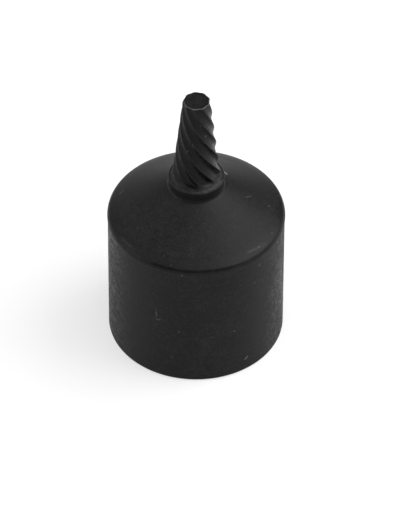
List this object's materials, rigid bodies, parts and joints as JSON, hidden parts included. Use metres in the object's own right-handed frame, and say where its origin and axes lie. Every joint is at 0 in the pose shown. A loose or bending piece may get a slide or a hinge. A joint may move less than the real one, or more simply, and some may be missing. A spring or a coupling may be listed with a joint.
{
  "type": "screw extractor",
  "caption": "Female square drive body with a conical nose and a tapered left-hand fluted tip that bites into a drilled screw and backs it out.",
  "frame": {"origin": "on the tool's axis at the middle of the flat base, where the square drive opens", "axes": "+Z along the axis from the base to the fluted tip; X and Y square to the flats of the drive"},
  "size_m": [0.0302, 0.0302, 0.051],
  "materials": {
    "black_steel": "satin black oxide on turned and milled tool steel, lightly scratched"
  },
  "bodies": {
    "root": {"screw_extractor": "black_steel"}
  },
  "joints": []
}
